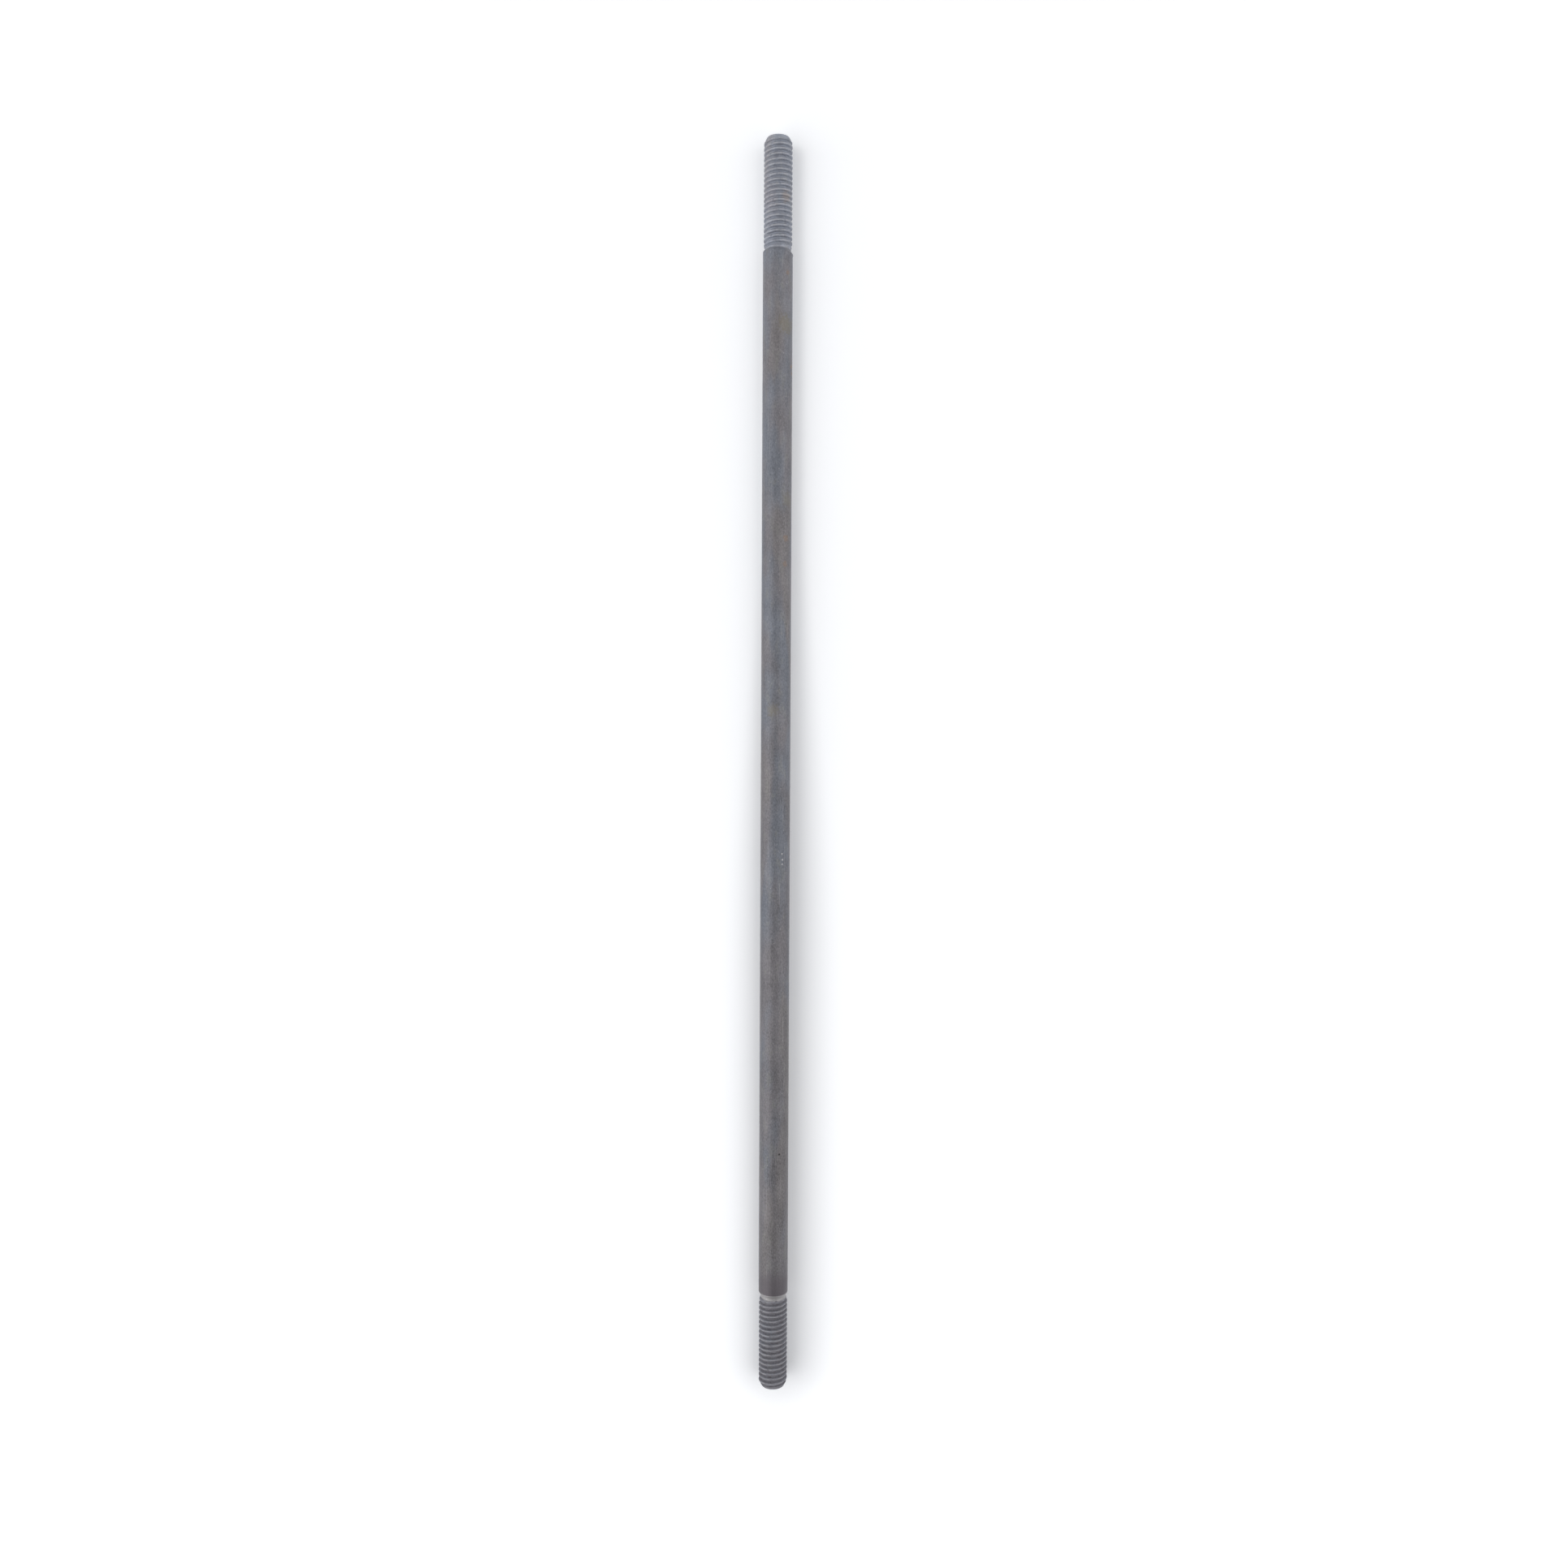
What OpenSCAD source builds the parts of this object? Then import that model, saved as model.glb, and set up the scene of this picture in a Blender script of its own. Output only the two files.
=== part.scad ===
// Turnbuckle rod: a round steel bar with a right-hand thread rolled on each end.
// The threads are rolled on a thinner neck, so their crests stand just under the bar's own diameter.
// The rod lies along Y, with the origin on its axis at the middle of its length. All sizes are in mm.

/* [Bar] */
// Diameter of the plain bar between the two threads
bar_d = 6; // [5.95:0.05:7]
// Length of the plain bar, between the two edges where it starts to slope down
bar_len = 211.5; // [40:0.5:400]

/* [Threads] */
// Distance from one crest to the next
pitch = 1; // [0.95:0.05:1.2]
// Diameter over the crests of the near thread, on the -Y end
near_crest_d = 5.86; // [5.7:0.02:5.94]
// Diameter over the crests of the far thread, on the +Y end
far_crest_d = 5.76; // [5.7:0.02:5.94]
// Diameter across the bottom of the groove
root_d = 4.92; // [4.8:0.02:5]
// Width of the flat at the bottom of the groove
root_flat = 0.2; // [0.1:0.01:0.25]
// Where the near thread's groove starts round the bar, in degrees from +X towards +Z
near_start = 133; // [0:1:359]
// Where the far thread's groove starts round the bar, in degrees from +X towards -Z
far_start = 65; // [0:1:359]

/* [Ends] */
// Length of the near end, from the edge of the plain bar to the tip
near_len = 19.6; // [10:0.1:40]
// Length of the far end, from the edge of the plain bar to the tip
far_len = 22.9; // [10:0.1:40]
// Height of the lip rolled up round the plain bar's far edge
lip_h = 0.08; // [0.02:0.01:0.15]
// Length of that lip along the bar
lip_len = 0.4; // [0.1:0.05:1]
// Diameter of the neck that each thread starts from
neck_d = 5.3; // [5.1:0.05:5.6]
// Length of the slope from the plain bar down to the neck
shoulder_len = 0.65; // [0.3:0.05:2]
// Length of bare neck between the slope and the thread
neck_len = 0.25; // [0.1:0.05:2]
// Length over which the crests rise from the neck to their full diameter
rise_len = 1.5; // [0.5:0.1:4]
// Diameter of the flat face on each tip
tip_d = 4.7; // [4:0.05:5.2]
// Length of the chamfer behind each tip
tip_len = 1.05; // [0.4:0.05:2]

/* [Hidden] */

$fn = 96;
steel = [0.33, 0.33, 0.36];
// Flat steps round each turn of the groove
turn_steps = 20;
// Each side of a metric groove leans this many degrees from square to the axis
flank_angle = 30;
// Turns over which the groove sinks to its full depth beside the neck
sink_turns = 1;
// The groove runs on past the tip by this many turns, so that it opens through the end face
over_turns = 1.2;
// The cutter stands this far outside the crests
cutter_margin = 0.03;
// The lip is highest this far along its length
lip_peak = 0.7;
neck_end = shoulder_len + neck_len;
rod_len = near_len + bar_len + far_len;
near_edge_y = near_len - rod_len / 2;
far_edge_y = rod_len / 2 - far_len;

// Radius of the groove's bottom after a number of turns, sinking from outside the bar
function bottom_r(turn, outer_r) =
    let (full_r = root_d / 2, start_r = outer_r - cutter_margin / 2)
    turn < sink_turns ? start_r + (full_r - start_r) * turn / sink_turns : full_r;

// Half the groove's width at a radius
function half_width(r, floor_r) = root_flat / 2 + (r - floor_r) * tan(flank_angle);

// The four corners of the groove's section, turned to an angle and lifted to a height
function section(angle, height, floor_r, outer_r) =
    [for (corner = [
            [floor_r, -half_width(floor_r, floor_r)],
            [floor_r, half_width(floor_r, floor_r)],
            [outer_r, half_width(outer_r, floor_r)],
            [outer_r, -half_width(outer_r, floor_r)]
        ])
        [corner[0] * cos(angle), corner[0] * sin(angle), height + corner[1]]];

// The helical groove of a right-hand thread, as a solid to cut away. It winds up +Z from z = 0.
module groove(crest_d, height, start_angle) {
    outer_r = crest_d / 2 / cos(180 / turn_steps) + cutter_margin;
    steps = ceil((height / pitch + over_turns) * turn_steps);
    points = [for (i = [0:steps]) let (turn = i / turn_steps)
        each section(start_angle + 360 * turn, pitch * turn, bottom_r(turn, outer_r), outer_r)];
    sides = [for (i = [0:steps - 1]) for (k = [0:3])
        let (a = 4 * i + k, b = 4 * i + (k + 1) % 4)
        each [[a, a + 4, b], [b, a + 4, b + 4]]];
    caps = [[0, 1, 2, 3], [for (k = [3:-1:0]) 4 * steps + k]];
    polyhedron(points, concat(sides, caps));
}

// One end of the rod, drawn up +Z from the edge of the plain bar: slope, neck, thread and chamfered tip
module threaded_end(crest_d, length, start_angle) {
    difference() {
        rotate_extrude()
            polygon([
                [0, 0],
                [bar_d / 2, 0],
                [neck_d / 2, shoulder_len],
                [neck_d / 2, neck_end],
                [crest_d / 2, neck_end + rise_len],
                [crest_d / 2, length - tip_len],
                [tip_d / 2, length],
                [0, length]
            ]);
        translate([0, 0, neck_end])
            groove(crest_d, length - neck_end, start_angle);
    }
}

// The plain bar, drawn up +Z from its near edge, with the lip round its far edge
module plain_bar() {
    cylinder(d = bar_d, h = bar_len);
    translate([0, 0, bar_len - lip_len])
        rotate_extrude()
            polygon([
                [bar_d / 2 - lip_h, 0],
                [bar_d / 2, 0],
                [bar_d / 2 + lip_h, lip_len * lip_peak],
                [bar_d / 2, lip_len],
                [bar_d / 2 - lip_h, lip_len]
            ]);
}

module rod() {
    color(steel) {
        translate([0, near_edge_y, 0])
            rotate([-90, 0, 0])
                plain_bar();
        translate([0, near_edge_y, 0])
            rotate([90, 0, 0])
                threaded_end(near_crest_d, near_len, near_start);
        translate([0, far_edge_y, 0])
            rotate([-90, 0, 0])
                threaded_end(far_crest_d, far_len, far_start);
    }
}

rod();
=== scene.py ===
# %% [markdown]
# # Turnbuckle rod
# A round bar of dark drawn steel with a right-hand thread rolled on each end.
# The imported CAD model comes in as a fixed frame: it says where the rod is and how big it is.
# Everything below is in metres in that same frame, so a new piece goes where the CAD says.
# The rod lies along Y, with the origin on its axis at the middle of its length.

# %% Load the frame
from math import hypot, pi, radians, tan, tau

import bmesh
import bpy
from mathutils import Matrix, Vector, noise


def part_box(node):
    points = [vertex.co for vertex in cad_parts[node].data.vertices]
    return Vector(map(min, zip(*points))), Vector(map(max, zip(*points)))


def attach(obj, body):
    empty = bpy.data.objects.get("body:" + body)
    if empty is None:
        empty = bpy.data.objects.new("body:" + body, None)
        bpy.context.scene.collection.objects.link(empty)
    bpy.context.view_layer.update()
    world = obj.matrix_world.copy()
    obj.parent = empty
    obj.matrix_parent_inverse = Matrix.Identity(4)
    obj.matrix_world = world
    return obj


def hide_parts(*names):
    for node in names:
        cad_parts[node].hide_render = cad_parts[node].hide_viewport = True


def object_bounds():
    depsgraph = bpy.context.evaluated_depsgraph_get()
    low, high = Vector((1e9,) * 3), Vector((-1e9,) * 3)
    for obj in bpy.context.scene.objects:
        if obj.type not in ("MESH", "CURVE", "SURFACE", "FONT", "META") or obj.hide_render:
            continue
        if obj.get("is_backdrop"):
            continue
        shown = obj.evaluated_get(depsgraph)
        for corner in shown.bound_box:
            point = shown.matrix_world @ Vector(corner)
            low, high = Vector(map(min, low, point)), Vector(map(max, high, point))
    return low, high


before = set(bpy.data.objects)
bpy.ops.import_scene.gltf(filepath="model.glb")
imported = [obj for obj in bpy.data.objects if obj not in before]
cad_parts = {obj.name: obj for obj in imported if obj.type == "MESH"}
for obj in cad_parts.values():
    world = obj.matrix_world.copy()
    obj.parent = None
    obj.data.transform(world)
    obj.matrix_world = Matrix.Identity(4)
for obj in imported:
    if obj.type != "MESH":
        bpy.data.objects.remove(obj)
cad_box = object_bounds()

MM = 0.001
low_corner, high_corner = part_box("rod")
print("rod, in mm:", [round(c / MM, 2) for c in (*low_corner, *high_corner)])

# %% [markdown]
# ## Sizes
# The bar is 6 mm across and its ends are threaded at a pitch of 1 mm.
# Each thread is rolled on a neck that is thinner than the bar: rolling pushes the metal up, so the
# crests end just under the bar's own diameter. The sizes repeat the CAD model's, end by end, so
# that the finished piece fills the same box as the solid that it stands for.

# %% Sizes of the bar and its ends
BAR_R = 3.0 * MM
NECK_R = 2.65 * MM
ROOT_R = 2.46 * MM
TIP_R = 2.35 * MM
PITCH = 1.0 * MM
SHOULDER_LEN = 0.65 * MM
RISE_LEN = 1.5 * MM
TIP_LEN = 1.05 * MM
LIP_H = 0.08 * MM

# Each end is drawn up +Z from the bar's edge and then turned to its place. "phase" is where a crest
# crosses the +X side, as a share of a turn, "turn" is the sign of the quarter turn about X, and
# "seed" shifts the noises of its wear, so that the two ends are worn differently.
near_end = {"name": "near", "edge_y": -107.4 * MM, "length": 19.6 * MM, "crest_r": 2.93 * MM,
            "phase": 0.03, "turn": 1, "seed": 11.3}
far_end = {"name": "far", "edge_y": 104.1 * MM, "length": 22.9 * MM, "crest_r": 2.88 * MM,
           "phase": 0.22, "turn": -1, "seed": 47.9}
bar_len = far_end["edge_y"] - near_end["edge_y"]
print("overall length, in mm:", round((bar_len + near_end["length"] + far_end["length"]) / MM, 3))

# %% [markdown]
# ## One pitch of the thread's outline
# A screw thread is one short outline wound round an axis. A metric thread's outline is a trapezium:
# a narrow crest, two flanks at 30 degrees and a root that the rolling die leaves rounded.
# The outline is drawn as a few points joined by edges, and a vertex bevel rounds its corners, as
# the die does. That is easier to read and to change than a list of every rounded point.

# %% Draw the outline of one pitch
ROOT_HALF = 0.1 * MM
CORNER = 0.095 * MM
FLANK_ANGLE = radians(30)


def thread_outline(bm, crest_r, start_z):
    """Draws one pitch of the thread in the XZ plane, from the middle of one root to the next."""
    flank = (crest_r - ROOT_R) * tan(FLANK_ANGLE)
    outline = [
        (ROOT_R, 0), (ROOT_R, ROOT_HALF), (crest_r, ROOT_HALF + flank), (crest_r, PITCH / 2),
        (crest_r, PITCH - ROOT_HALF - flank), (ROOT_R, PITCH - ROOT_HALF), (ROOT_R, PITCH),
    ]
    points = [bm.verts.new((r, 0, start_z + z)) for r, z in outline]
    for pair in zip(points, points[1:]):
        bm.edges.new(pair)
    corners = [points[i] for i in (1, 2, 4, 5)]
    bmesh.ops.bevel(bm, geom=corners, offset=CORNER, offset_type="OFFSET", segments=3,
                    profile=0.5, affect="VERTICES", material=-1)
    flanks = [e for e in bm.edges if e.calc_length() > 2 * CORNER]
    bmesh.ops.subdivide_edges(bm, edges=flanks, cuts=2)
    print("outline points:", len(bm.verts), "edges:", len(bm.edges))


# %% [markdown]
# ## Wind the outline into a thread
# Blender's spin turns an outline about an axis, and its dvec moves it along at each step, so one
# call winds one turn of a screw. Spin gets slow on a long thread, so only that turn is spun. It is
# then copied and moved along, and the whole is copied again, which doubles the length each time.
# Each turn climbs by exactly one pitch, so the top of one turn meets the bottom of the next, and
# merging the doubled points closes them into one skin. The thread comes out too long at both ends,
# and two planes then cut it square, at the neck and at the tip.

# %% Wind and cut one thread
STEPS = 96


def wound_thread(end):
    """A bmesh of one end's thread, drawn up +Z from the bar's edge and cut at neck and tip."""
    bm = bmesh.new()
    start_z = (end["phase"] - 1.5) * PITCH
    thread_outline(bm, end["crest_r"], start_z)
    bmesh.ops.spin(bm, geom=bm.verts[:] + bm.edges[:], cent=(0, 0, 0), axis=(0, 0, 1),
                   dvec=(0, 0, PITCH / STEPS), angle=tau, steps=STEPS)
    turns = 1
    while turns * PITCH < end["length"] - start_z:
        copied = bmesh.ops.duplicate(bm, geom=bm.verts[:] + bm.edges[:] + bm.faces[:])["geom"]
        bmesh.ops.translate(bm, verts=[g for g in copied if isinstance(g, bmesh.types.BMVert)],
                            vec=(0, 0, turns * PITCH))
        turns *= 2
    above = [v for v in bm.verts if v.co.z > end["length"] + PITCH]
    bmesh.ops.delete(bm, geom=above, context="VERTS")
    bmesh.ops.remove_doubles(bm, verts=bm.verts, dist=0.002 * MM)
    for height, side in ((SHOULDER_LEN, -1), (end["length"], 1)):
        bmesh.ops.bisect_plane(bm, geom=bm.verts[:] + bm.edges[:] + bm.faces[:], dist=0.0001 * MM,
                               plane_co=(0, 0, height), plane_no=(0, 0, side), clear_outer=True)
    print(end["name"], "thread: turns", turns, "faces", len(bm.faces))
    return bm


# %% [markdown]
# ## Run-out, chamfer and wear
# A rolled thread doesn't start at full depth. Beside the neck the crests rise and the groove sinks
# over a turn or two, and at the tip a chamfer cuts the last crests down. Here each point of the
# thread is kept between a lowest and a highest radius that depend on how far along it lies.
# Handling then knocks small nicks into the crests. They are shallow dents where a noise is high,
# so they follow the steel and look the same from every side.

# %% Shape the thread's ends and dent its crests
RISE_START = 0.2 * MM
SINK_START = 0.1 * MM
CREST_BAND = 0.14 * MM
NICK_DEPTH = 0.13 * MM
NICK_SIZE = 0.55 * MM
RIPPLE_DEPTH = 0.012 * MM
RIPPLE_SIZE = 0.9 * MM
UNWORN_END = 0.3 * MM


def blend(t):
    """0 below t = 0, 1 above t = 1, and a smooth climb between them."""
    t = min(max(t, 0), 1)
    return t * t * (3 - 2 * t)


def highest_radius(end, z):
    """The radius that no point of the thread stands above, at z along the end."""
    crest_r, from_tip = end["crest_r"], end["length"] - z
    past_neck = z - SHOULDER_LEN - RISE_START
    risen = blend(0.1 + past_neck / RISE_LEN) if past_neck > 0 else 0
    chamfer = TIP_R + (crest_r - TIP_R) * min(from_tip / TIP_LEN, 1)
    return min(NECK_R + (crest_r - NECK_R) * risen, chamfer)


def lowest_radius(z):
    """The radius that no point of the thread lies under: the groove sinks from the neck."""
    return NECK_R + (ROOT_R - NECK_R) * blend((z - SHOULDER_LEN - SINK_START) / PITCH)


def nick(place, seed):
    """How deep a crest is dented at a place, from 0 to 1. The dents are rare and short."""
    squeezed = Vector((place.x, place.y, place.z * 1.3)) / NICK_SIZE
    return blend((noise.noise(squeezed + Vector((seed, 0, 0))) - 0.28) / 0.3)


def finish_thread(bm, end):
    """Moves each point of a wound thread in or out, towards its finished radius."""
    dented = 0
    ripple_shift = Vector((end["seed"], 5, 5))
    for v in bm.verts:
        r, z = hypot(v.co.x, v.co.y), v.co.z
        top = highest_radius(end, z)
        wanted = min(max(r, lowest_radius(z)), top)
        near_crest = blend((wanted - top + CREST_BAND) / (0.12 * MM))
        inside = blend((z - SHOULDER_LEN) / UNWORN_END) * blend((end["length"] - z) / UNWORN_END)
        depth = NICK_DEPTH * near_crest * inside * nick(v.co, end["seed"])
        ripple = RIPPLE_DEPTH * inside * noise.noise(v.co / RIPPLE_SIZE + ripple_shift)
        dented += depth > 0.3 * NICK_DEPTH
        wanted += ripple * (1 if wanted < end["crest_r"] - 0.02 * MM else 0.4) - depth
        v.co.x *= wanted / r
        v.co.y *= wanted / r
    print(end["name"], "thread: dented points", dented)


# %% [markdown]
# ## The plain bar
# The bar with its two slopes and necks is a plain turned shape, so half its outline is drawn beside
# the axis and spun all the way round. The rolling leaves a thin lip at the far edge, where metal
# piled up against the bar. A bevel on the outline's corners gives each edge its small radius.
# The real lip is uneven and its edge isn't quite square, so its points are then moved a little.

# %% Spin the bar
BAR_RINGS = 42
EDGE_RADIUS = 0.14 * MM
NECK_GAP = 0.08 * MM
SKEW = 0.45 * MM


def plain_bar():
    """A bmesh of the bar and its slopes, along Y, open at both necks."""
    bm = bmesh.new()
    near_y, far_y = near_end["edge_y"], far_end["edge_y"]
    outline = [
        (NECK_R, near_y - SHOULDER_LEN + NECK_GAP), (BAR_R, near_y),
        (BAR_R, far_y - 0.45 * MM), (BAR_R + LIP_H, far_y - 0.1 * MM),
        (BAR_R - 0.02 * MM, far_y + 0.05 * MM), (NECK_R, far_y + SHOULDER_LEN - NECK_GAP),
    ]
    points = [bm.verts.new((r, y, 0)) for r, y in outline]
    for pair in zip(points, points[1:]):
        bm.edges.new(pair)
    bmesh.ops.bevel(bm, geom=[points[1], points[2], points[4]], offset=EDGE_RADIUS,
                    offset_type="OFFSET", segments=2, profile=0.5, affect="VERTICES", material=-1)
    longest = max(bm.edges, key=lambda edge: edge.calc_length())
    bmesh.ops.subdivide_edges(bm, edges=[longest], cuts=BAR_RINGS)
    bmesh.ops.spin(bm, geom=bm.verts[:] + bm.edges[:], cent=(0, 0, 0), axis=(0, 1, 0),
                   angle=tau, steps=STEPS, use_merge=True)
    for v in bm.verts:
        r = hypot(v.co.x, v.co.z)
        if r > BAR_R + 0.01 * MM:
            uneven = 0.65 + 0.35 * v.co.x / r + 0.3 * noise.noise(v.co / (0.8 * MM))
            wanted = BAR_R + (r - BAR_R) * min(max(uneven, 0), 1)
            v.co.x *= wanted / r
            v.co.z *= wanted / r
        if far_y - 0.5 * MM < v.co.y < far_y + 0.4 * MM:
            v.co.y += SKEW * 0.5 * (1 - v.co.x / r)
    print("bar: faces", len(bm.faces))
    return bm


# %% [markdown]
# ## Join the three into one skin
# The rod is one piece of steel, so its skin is one closed surface. Each thread is turned to its
# end, copied into the bar's mesh and bridged to it at the neck, and each tip is closed with a flat
# face whose rim is slightly broken. The normals are worked out again at the end, because a spin can
# turn a surface inside out.

# %% Place the threads, bridge the necks and close the tips
def take_in(bm, part):
    """Copies another bmesh into bm."""
    held = bpy.data.meshes.new("held")
    part.to_mesh(held)
    part.free()
    bm.from_mesh(held)
    bpy.data.meshes.remove(held)


def rim(bm, y, reach):
    """The open edges that lie within a distance of y."""
    open_edges = [e for e in bm.edges if e.is_boundary]
    return [e for e in open_edges if all(abs(v.co.y - y) < reach for v in e.verts)]


def close_tip(bm, y, outward):
    """Closes an open tip at y: a broken rim, then a flat face with a shallow hollow."""
    ring = rim(bm, y, 0.02 * MM)
    for radius, hollow in ((0.965, 0), (0.6, 0.04 * MM), (0.25, 0.08 * MM)):
        made = bmesh.ops.extrude_edge_only(bm, edges=ring)["geom"]
        points = [g for g in made if isinstance(g, bmesh.types.BMVert)]
        edges = [g for g in made if isinstance(g, bmesh.types.BMEdge)]
        ring = [e for e in edges if set(points).issuperset(e.verts)]
        mean = sum(hypot(v.co.x, v.co.z) for v in points) / len(points)
        scale = TIP_R * radius / mean
        for v in points:
            v.co = Vector((v.co.x * scale, y - outward * hollow, v.co.z * scale))
    middle = bm.verts.new((0, y - outward * 0.08 * MM, 0))
    for e in ring:
        bm.faces.new((*e.verts, middle))


bm = plain_bar()
for end in (near_end, far_end):
    thread = wound_thread(end)
    finish_thread(thread, end)
    bmesh.ops.rotate(thread, verts=thread.verts, cent=(0, 0, 0),
                     matrix=Matrix.Rotation(end["turn"] * pi / 2, 3, "X"))
    bmesh.ops.translate(thread, verts=thread.verts, vec=(0, end["edge_y"], 0))
    take_in(bm, thread)
    outward = -end["turn"]
    neck_y = end["edge_y"] + outward * SHOULDER_LEN
    bmesh.ops.bridge_loops(bm, edges=rim(bm, neck_y, 0.1 * MM))
    close_tip(bm, end["edge_y"] + outward * end["length"], outward)

bmesh.ops.remove_doubles(bm, verts=bm.verts, dist=0.0005 * MM)
bmesh.ops.recalc_face_normals(bm, faces=bm.faces)
for face in bm.faces:
    face.smooth = True
print("rod: faces", len(bm.faces), "triangles", sum(len(f.verts) - 2 for f in bm.faces),
      "open edges", sum(not e.is_manifold for e in bm.edges))

rod_mesh = bpy.data.meshes.new("rolled_rod")
bm.to_mesh(rod_mesh)
bm.free()
rod_mesh.set_sharp_from_angle(angle=radians(50))
rod = bpy.data.objects.new("rolled_rod", rod_mesh)
bpy.context.scene.collection.objects.link(rod)

# %% [markdown]
# ## Shader maths as plain Python
# A material is a tree of nodes, which is hard to read as a list of links. One small class wraps an
# output socket and overloads the operators, so that a sum or product of values adds its Math nodes.
# Every other kind of node comes from one method of the tree's own class.

# %% A value class and a node method
class Value:
    """One output socket, with arithmetic that adds Math nodes."""

    def __init__(self, tree, socket):
        self.tree, self.socket = tree, socket

    def math(self, operation, *values):
        """Adds a Math node. Its values are numbers or sockets."""
        return self.tree.node("ShaderNodeMath", {"operation": operation}, dict(enumerate(values)))

    def other(self, name):
        """Another output of the same node."""
        return Value(self.tree, self.socket.node.outputs[name])

    def __add__(self, other):
        return self.math("ADD", self, other)

    def __sub__(self, other):
        return self.math("SUBTRACT", self, other)

    def __mul__(self, other):
        return self.math("MULTIPLY", self, other)

    def __radd__(self, other):
        return self.math("ADD", other, self)

    def __rsub__(self, other):
        return self.math("SUBTRACT", other, self)

    def __rmul__(self, other):
        return self.math("MULTIPLY", other, self)


class Tree:
    """The node tree of a material or of the world."""

    def __init__(self, owner):
        self.owner = owner
        owner.use_nodes = True
        self.nodes, self.links = owner.node_tree.nodes, owner.node_tree.links
        self.nodes.clear()

    def node(self, kind, settings=None, inputs=None, out=0):
        """Adds a node: first its settings, then the values or links of its sockets."""
        made = self.nodes.new(kind)
        for name, value in (settings or {}).items():
            setattr(made, name, value)
        for name, value in (inputs or {}).items():
            if isinstance(value, Value):
                self.links.new(value.socket, made.inputs[name])
            else:
                made.inputs[name].default_value = value
        return Value(self, made.outputs[out]) if made.outputs else None

    def noise(self, vector, detail=2.0, roughness=0.5):
        """A noise of mean 0.5, with cells as big as the vector's unit."""
        return self.node("ShaderNodeTexNoise", {"noise_dimensions": "3D"}, {
            "Vector": vector, "Scale": 1.0, "Detail": detail, "Roughness": roughness})

    def between(self, value, low, high):
        """0 where value is at or under low, 1 at or over high, and smooth between them."""
        return self.node("ShaderNodeMapRange", {"interpolation_type": "SMOOTHSTEP"}, {
            "Value": value, "From Min": low, "From Max": high})

    def mix(self, factor, first, second, blend="MIX"):
        """Mixes two colours."""
        return self.node("ShaderNodeMix", {"data_type": "RGBA", "blend_type": blend}, {
            0: factor, 6: first, 7: second}, out=2)


print("shader helpers ready")

# %% [markdown]
# ## Dark drawn steel
# The bar is drawn through a die and left dark, without polish or plating. Its finish has several
# scales: fine lines along its length, darker and lighter patches, faint clouds of blue, brown and
# olive, a scatter of pale specks, a few scratches and some spots of rust. All of them are noises on
# Object coordinates. Dividing one coordinate before a noise stretches it, so a noise that is long
# along Y gives the drawn lines without any image.

# %% Coordinates, masks and grain of the steel
steel = Tree(bpy.data.materials.new("dark drawn steel"))
place = steel.node("ShaderNodeTexCoord", out=3)
x = steel.node("ShaderNodeSeparateXYZ", {}, {"Vector": place})
y, z = x.other("Y"), x.other("Z")
radius = x.math("SQRT", x * x + z * z)

near_y, far_y = near_end["edge_y"], far_end["edge_y"]
near_zone = steel.between(y, near_y - 0.9 * MM, near_y - 1.2 * MM)
far_zone = steel.between(y, far_y + 0.6 * MM, far_y + 1.0 * MM)
threaded = near_zone + far_zone


def grain(across, lengthwise, shift=0.0, detail=2.0, roughness=0.5):
    """A noise in cells of one size on X and Z and of another on Y, both in mm. Its mean is 0.5."""
    stretched = steel.node("ShaderNodeMapping", {}, {
        "Vector": place, "Location": (shift, shift, shift),
        "Scale": (1 / (across * MM), 1 / (lengthwise * MM), 1 / (across * MM))})
    return steel.noise(stretched, detail, roughness)


print("masks of the two threads: nodes", len(steel.nodes))

# %% [markdown]
# Two noises that are long along Y make the drawn lines, one fine and one broad. Rounder noises
# break them up, so that no line runs the whole length, and the finest gives the skin its mottle.

# %% Drawn lines, clouds, patches, specks and scratches
fine_lines = grain(0.28, 4.0, roughness=0.6) - 0.5
broad_lines = grain(0.75, 14.0, 3.1) - 0.5
blotches = grain(1.3, 3.0, 15.4) - 0.5
patches = grain(3.2, 6.5, 23.0) - 0.5
clouds = grain(4.0, 14.0, 7.7) - 0.5
long_clouds = grain(5.0, 26.0, 1.3) - 0.5
mottle = grain(0.25, 0.45, 5.9, detail=3.0, roughness=0.6) - 0.5
specks = steel.between(grain(0.30, 0.36, 9.4, detail=1.0), 0.70, 0.80)
scratches = steel.between(grain(0.17, 9.0, 12.2, detail=0.0, roughness=0.4), 0.72, 0.80)
print("grain of the steel: nodes", len(steel.nodes))

# %% [markdown]
# The tone starts from one dark steel grey. The noises shift it a little lighter or darker, and the
# clouds tint it, which keeps the hue alive without any one patch standing out. A painted gradient
# of light makes the bar a touch lighter and bluer towards its far end and darker towards its near
# end.
# It is darker still, as if smoked, just before its near shoulder.

# %% Mix the steel's colour
STEEL = (0.138, 0.131, 0.141, 1)
BLUE = (0.126, 0.134, 0.156, 1)
BROWN = (0.143, 0.134, 0.139, 1)
OLIVE = (0.141, 0.141, 0.135, 1)
PALE = (0.42, 0.41, 0.41, 1)
THREAD_TONE_AND_LIGHT = (0.288, 0.312, 0.372, 1)
SMOKE = (0.085, 0.075, 0.085, 1)
GRIME_AND_SHADE = (0.09, 0.075, 0.085, 1)

# Painted light: the along terms below make the steel lighter and bluer towards the far end.
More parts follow.
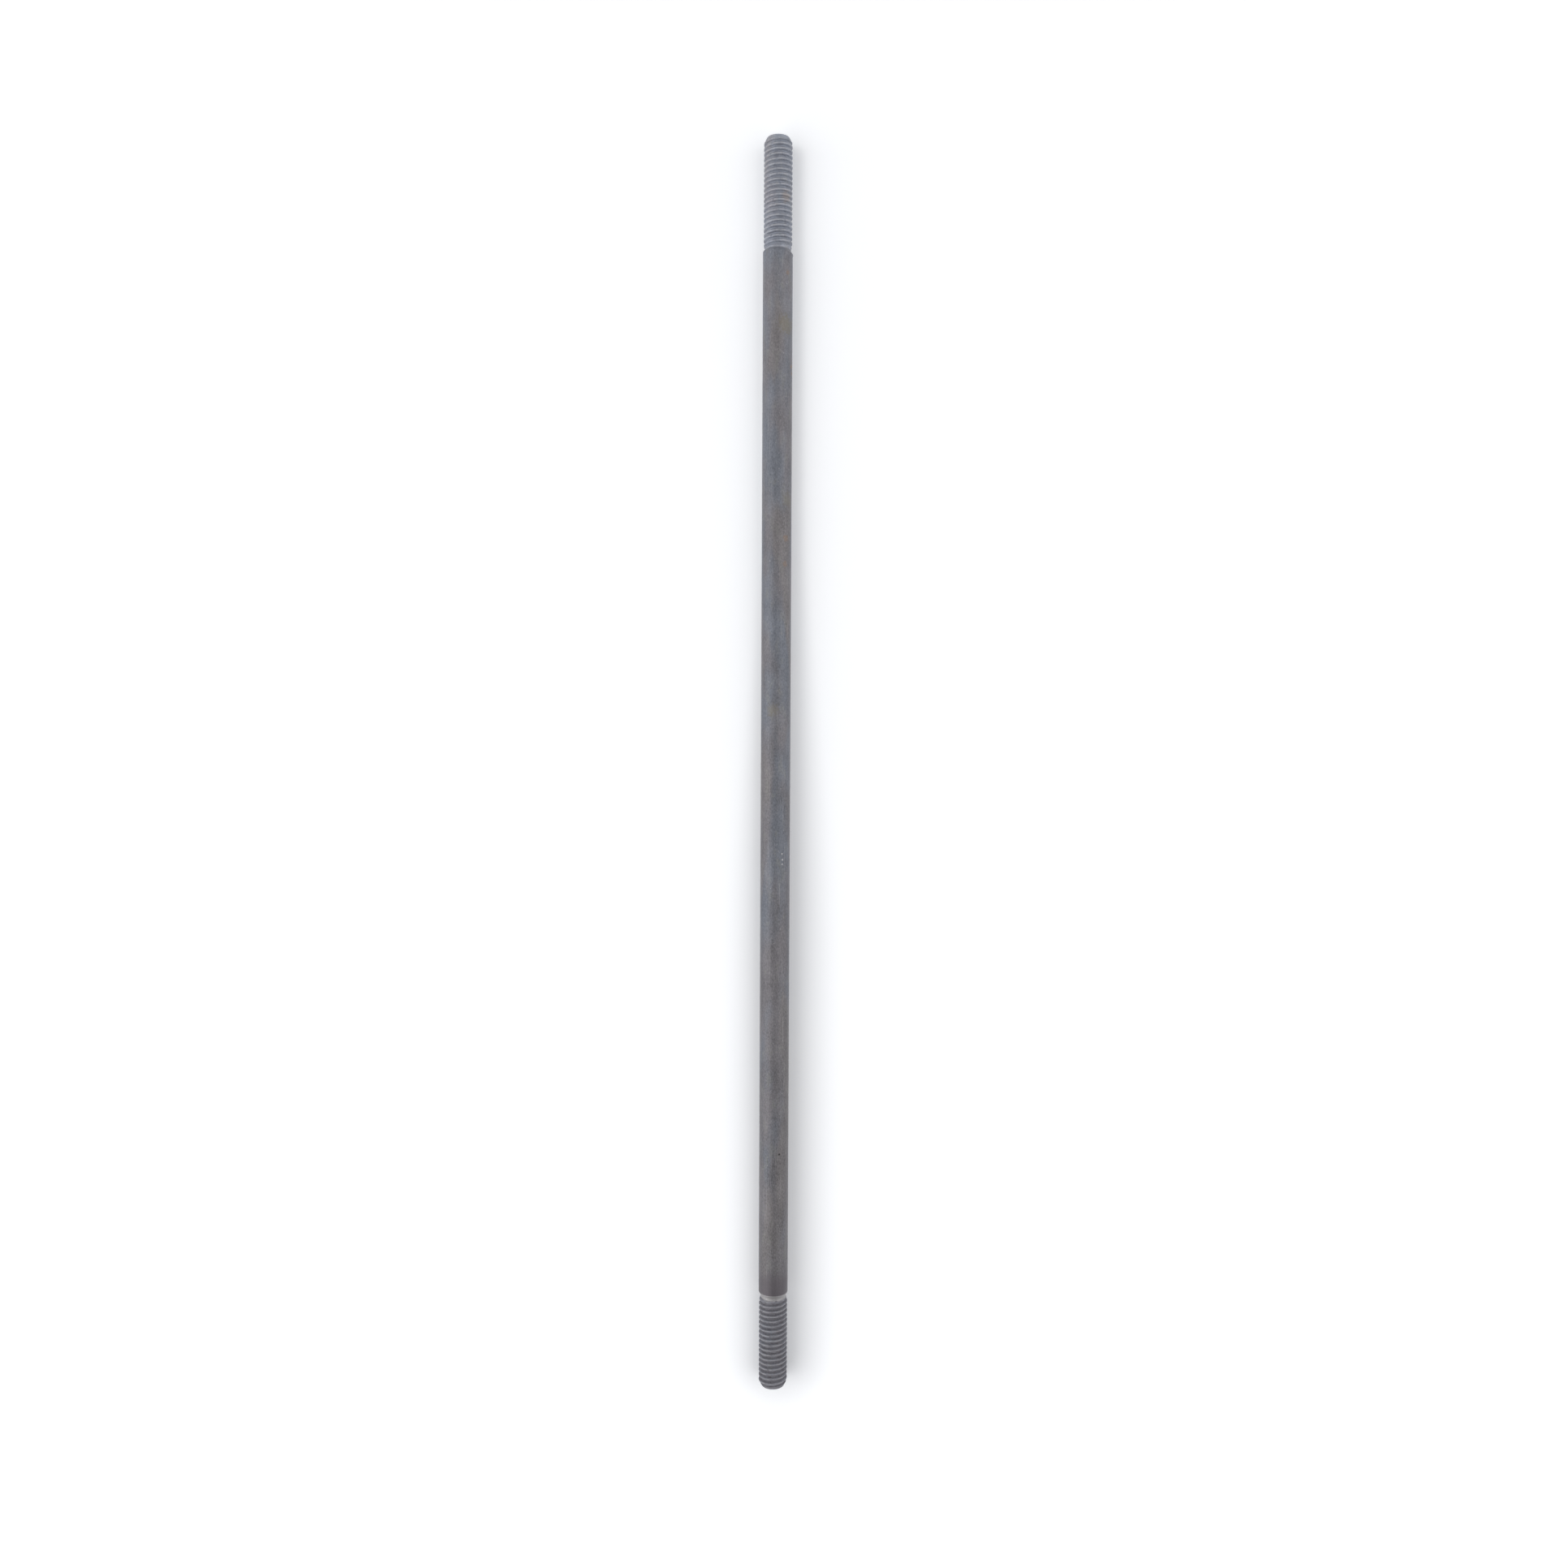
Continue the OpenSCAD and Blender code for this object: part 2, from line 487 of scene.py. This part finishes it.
along = y * (1 / MM)
tint = steel.mix(steel.between(clouds + 0.0011 * along, -0.12, 0.18), STEEL, BLUE)
tint = steel.mix(steel.between(long_clouds, 0.02, 0.14), tint, BROWN)
tint = steel.mix(0.4 * steel.between(blotches, 0.04, 0.20), tint, OLIVE)
shade = (0.99 + 0.0013 * along + 0.3 * fine_lines + 0.12 * broad_lines + 0.3 * blotches
         + 0.5 * patches + 1.3 * mottle)
# The threads are lighter than the bar; the far thread's extra lightness is painted light.
shade = shade * (1 + 0.45 * near_zone + 0.76 * far_zone)
grey = steel.node("ShaderNodeCombineColor", {}, {0: shade, 1: shade, 2: shade})
colour = steel.mix(1.0, tint, grey, "MULTIPLY")
colour = steel.mix(0.35 * specks + 0.16 * scratches, colour, PALE)

below_edge = steel.between(y, near_y + 0.2 * MM, near_y + 0.05 * MM)
smoked = steel.between(y, near_y + 6 * MM, near_y + 2.5 * MM) * (1 - below_edge)
colour = steel.mix(0.8 * smoked, colour, SMOKE)
print("colour of the bar: nodes", len(steel.nodes))

# %% [markdown]
# Rolling and handling rub the crests bright, while the grooves keep their dark skin. The bright
# crest line is partly that wear and partly a painted highlight. The distance from the axis tells
# crest from groove, and a noise breaks the bright line up. Rolling breaks the bar's dark skin, so
# the threads are lighter than the bar, and streaks of grime lie along them. The far thread is
# lighter still, which is painted light. Painted light also lifts the far thread's grooves, and
# painted shade darkens the floor of the near thread's grooves. Beside the near thread is a band of
# light metal: partly bare metal left by the rolling, partly a painted reflection of light on the
# slope, which faces the near end.

# %% Crests with wear and painted highlight, painted groove light and shade, and the near band
crest_height = near_zone * near_end["crest_r"] + far_zone * far_end["crest_r"]
on_crest = steel.between(radius, crest_height - 0.03 * MM, crest_height - 0.008 * MM) * threaded
in_groove = (1 - steel.between(radius, ROOT_R + 0.05 * MM, crest_height - 0.08 * MM)) * threaded
grime = steel.between(grain(1.1, 0.28, 31.0, roughness=0.6), 0.48, 0.66)
rubbed = steel.between(grain(0.8, 0.55, 21.0, roughness=0.6), 0.36, 0.54)
# The crest line is rubbed, worn steel and also a painted highlight.
worn_crest_and_highlight = on_crest * (0.2 + 0.8 * rubbed)

# Painted light lifts the far thread's grooves and painted shade darkens the near thread's groove
# floors, on top of the threads' own lighter tone and grime.
thread_tone_and_groove_light = 0.30 * near_zone + 0.22 * far_zone + (0.20 * far_zone - 0.10 * near_zone) * in_groove
grime_and_groove_shade = (0.40 * near_zone + 0.28 * far_zone) * grime + 0.14 * near_zone * in_groove
colour = steel.mix(thread_tone_and_groove_light, colour, THREAD_TONE_AND_LIGHT)
colour = steel.mix(grime_and_groove_shade, colour, GRIME_AND_SHADE)
# Wear and painted highlight on the crests.
colour = steel.mix((0.21 + 0.10 * far_zone) * worn_crest_and_highlight, colour, PALE)

# Partly bare metal, partly a painted reflection of light on the slope that faces the near end.
bare_band_and_sheen = below_edge - steel.between(y, near_y - 0.95 * MM, near_y - 1.1 * MM)
colour = steel.mix(0.47 * bare_band_and_sheen, colour, PALE)
print("colour of the threads: nodes", len(steel.nodes))

# %% [markdown]
# A few marks have a place of their own: faint rust on one side, a dark pit, and three small bright
# dents in a row. Each is a small ball round a point of the surface, broken by the mottle.

# %% Rust, a pit and three bright dents
RUST = (0.22, 0.135, 0.075, 1)
STAIN = (0.17, 0.15, 0.11, 1)
DUST = (0.33, 0.27, 0.235, 1)
PIT = (0.02, 0.018, 0.018, 1)


def spot(x_mm, y_mm, size_mm, ragged):
    """A soft-edged spot on the top of the bar, centred at x and y, with a ragged outline."""
    z_mm = ((BAR_R / MM) ** 2 - x_mm ** 2) ** 0.5
    distance = steel.node("ShaderNodeVectorMath", {"operation": "DISTANCE"}, {
        0: place, 1: (x_mm * MM, y_mm * MM, z_mm * MM)}, out=1)
    outline = distance * (1 / (size_mm * MM)) + 2 * ragged * mottle + ragged * blotches
    return steel.between(outline, 1.0, 0.5)


# Each mark: its x, y and size in mm, how strong it is, and its colour.
stains = (
    (1.95, 89.5, 2.4, 0.50, STAIN), (2.05, 99.9, 0.6, 0.35, RUST), (2.8, 81.6, 0.5, 0.6, RUST),
    (2.85, 80.3, 0.35, 0.6, RUST), (1.85, 47.2, 0.8, 0.35, RUST), (1.7, 42.0, 0.7, 0.30, RUST),
    (-0.6, 12.6, 1.6, 0.35, STAIN), (2.2, 55.0, 1.8, 0.30, STAIN), (2.0, 114.9, 1.5, 0.5, DUST),
)
dents = (
    (1.14, -77.9, 0.28, 0.9, PIT), (1.40, -16.4, 0.20, 0.7, PALE), (1.50, -17.6, 0.22, 0.8, PALE),
    (1.45, -18.5, 0.20, 0.7, PALE),
)
for ragged, marks in ((0.9, stains), (0.2, dents)):
    for x_mm, y_mm, size_mm, strength, paint in marks:
        colour = steel.mix(strength * spot(x_mm, y_mm, size_mm, ragged), colour, paint)
print("marks:", len(stains) + len(dents), "nodes", len(steel.nodes))

# %% [markdown]
# ## Finish of the steel
# The steel is mostly metal under a thin dark oxide, so it is a little less than fully metallic and
# fairly rough, with a trace of oil as its coat. The threads are duller: they are less metallic,
# hold less oil and are rougher, except where their crests are rubbed. The lines give the roughness
# its grain and, through a bump, the surface its relief.

# %% Build the steel shader
rough = (0.54 + 0.2 * fine_lines + 0.2 * mottle + 0.14 * near_zone + 0.04 * far_zone
         - 0.12 * worn_crest_and_highlight)
metallic = 0.85 - 0.50 * near_zone - 0.30 * far_zone
oil = 0.2 - 0.18 * near_zone - 0.08 * far_zone
relief = 0.3 * fine_lines + 0.15 * broad_lines + 0.3 * mottle
bump = steel.node("ShaderNodeBump", {}, {
    "Height": relief, "Strength": 0.35, "Distance": 0.02 * MM})
surface = steel.node("ShaderNodeBsdfPrincipled", {}, {
    "Base Color": colour, "Roughness": rough, "Metallic": metallic, "Normal": bump,
    "Coat Weight": oil, "Coat Roughness": 0.45})
steel.node("ShaderNodeOutputMaterial", {}, {"Surface": surface})
rod_mesh.materials.append(steel.owner)
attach(rod, "root")
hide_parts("rod")
print("steel: nodes", len(steel.nodes))

# %% [markdown]
# ## Floor
# The rod lies on a plain floor, nearly white and a touch cool. A diffuse floor alone would come out
# grey, and more light would bleach the steel, so the floor also glows, but only to the camera and
# in reflections. Light Path tells those rays apart. Far off, where the lamps are weak, the glow is
# stronger. Close to the rod it is weaker, most of all along the near half and on the side away from
# the key lamp: that is a painted shadow, which deepens the rod's own soft contact shadow.

# %% Floor
FLOOR_HALF = 3.0
FLOOR_GLOW = 0.31
SHADE_SIDE = 1.5 * MM
SHADE_END = 124 * MM
floor_z = cad_box[0][2]
bm = bmesh.new()
bmesh.ops.create_grid(bm, x_segments=1, y_segments=1, size=FLOOR_HALF,
                      matrix=Matrix.Translation((0, 0, floor_z)))
floor_mesh = bpy.data.meshes.new("floor")
bm.to_mesh(floor_mesh)
bm.free()
floor = bpy.data.objects.new("floor", floor_mesh)
bpy.context.scene.collection.objects.link(floor)
floor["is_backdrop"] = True


def ray_kinds(tree):
    """Two masks: 1 for rays from the camera, and 1 for rays in reflections or refractions."""
    camera = tree.node("ShaderNodeLightPath")
    glossy, refracted = camera.other("Is Glossy Ray"), camera.other("Is Transmission Ray")
    return camera, camera.math("MAXIMUM", glossy, refracted)


paper = Tree(bpy.data.materials.new("white floor"))
diffuse = paper.node("ShaderNodeBsdfDiffuse", {}, {"Color": (0.885, 0.895, 0.92, 1)})
on_floor = paper.node("ShaderNodeTexCoord", out=3)
from_middle = paper.node("ShaderNodeVectorMath", {"operation": "LENGTH"}, {0: on_floor}, out=1)
far_off = paper.between(from_middle, 140 * MM, 600 * MM)

across = paper.node("ShaderNodeSeparateXYZ", {}, {"Vector": on_floor})
lengthwise = across.other("Y")
sideways = across - SHADE_SIDE
past_tip = across.math("MAXIMUM", across.math("ABSOLUTE", lengthwise) - SHADE_END, 0)
from_shade = across.math("SQRT", sideways * sideways + past_tip * past_tip)
near_half = paper.between(lengthwise, 60 * MM, -40 * MM)
# Painted shadow: the glow dips beside the rod, most along its near half.
painted_shadow = 1 - paper.between(from_shade, 2 * MM, 5 * MM + 8 * MM * near_half)

by_camera, by_reflection = ray_kinds(paper)
seen_glow = FLOOR_GLOW - (0.12 + 0.08 * near_half) * painted_shadow + far_off
glow = paper.node("ShaderNodeEmission", {}, {
    "Color": (0.97, 0.985, 1, 1), "Strength": seen_glow * by_camera + 0.55 * by_reflection})
both = paper.node("ShaderNodeAddShader", {}, {0: diffuse, 1: glow})
paper.node("ShaderNodeOutputMaterial", {}, {"Surface": both})
floor_mesh.materials.append(paper.owner)
print("floor at z, in mm:", round(floor_z / MM, 3), "nodes", len(paper.nodes))

# %% [markdown]
# ## World and lamps
# A round bar mirrors a whole arc of its surroundings, so what it reflects matters as much as the
# lamps. The world is white to the camera. In reflections it is a little dimmer overhead, and it
# climbs from dim at the near end to bright at the far end, as where someone stands over a table.
# Two large, soft lamps light the rod from both sides, the key lamp on the left being the stronger,
# so that the bar is evenly lit and has no hard highlight.

# %% World and lamps
SKY_LIGHT = 0.4
SKY_SEEN = 1.0
SKY_OVERHEAD = 0.83
SKY_SLOPE = 0.5

sky = Tree(bpy.data.worlds.new("studio"))
bpy.context.scene.world = sky.owner
toward = sky.node("ShaderNodeTexCoord", out=0)
direction = sky.node("ShaderNodeSeparateXYZ", {}, {"Vector": toward})
away, height = direction.other("Y"), direction.other("Z")
overhead = sky.between(height, 0.2, 0.95)
seen_sky = (SKY_SEEN + (SKY_OVERHEAD - SKY_SEEN) * overhead) * (1 + SKY_SLOPE * away)
by_camera, by_reflection = ray_kinds(sky)
strength = SKY_LIGHT + (SKY_SEEN - SKY_LIGHT) * by_camera + (seen_sky - SKY_LIGHT) * by_reflection
background = sky.node("ShaderNodeBackground", {}, {"Color": (1, 1, 1, 1), "Strength": strength})
sky.node("ShaderNodeOutputWorld", {}, {"Surface": background})


def soft_lamp(name, size, power, position):
    """A square area lamp that faces the middle of the rod."""
    lamp = bpy.data.lights.new(name, "AREA")
    lamp.size, lamp.energy = size, power
    holder = bpy.data.objects.new(name, lamp)
    holder.location = position
    holder.rotation_euler = (-Vector(position)).to_track_quat("-Z", "Y").to_euler()
    holder.visible_camera = False
    bpy.context.scene.collection.objects.link(holder)


soft_lamp("key", 2.0, 17.2, (-1.2, -0.5, 0.8))
soft_lamp("fill", 1.8, 7.8, (1.0, -0.2, 0.9))

# %% [markdown]
# ## Camera
# The camera looks down on the rod from about 250 mm with a wide lens. It is tilted by two degrees,
# so that the far end comes out a little larger than the near end.

# %% Camera
camera_data = bpy.data.cameras.new("camera")
camera_data.sensor_width = 36
camera_data.lens = 27.95
camera_data.clip_start = 0.01
camera = bpy.data.objects.new("camera", camera_data)
camera.location = (1.7 * MM, 6.35 * MM, 248.5 * MM)
camera.rotation_euler = (radians(-2.0), 0, radians(0.28))
bpy.context.scene.collection.objects.link(camera)
bpy.context.scene.camera = camera
bpy.context.scene.view_settings.view_transform = "Standard"
print("camera at, in mm:", [round(c / MM, 2) for c in camera.location], "lens", camera_data.lens)

# %% [markdown]
# ## Check the size
# The finished rod has to fill the same box as the CAD model, so both boxes are printed and kept.

# %% Compare the finished piece with the CAD box
seen_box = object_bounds()
for name, box in (("CAD", cad_box), ("finished", seen_box)):
    print(name, "box, in mm:", [[round(c / MM, 2) for c in corner] for corner in box])
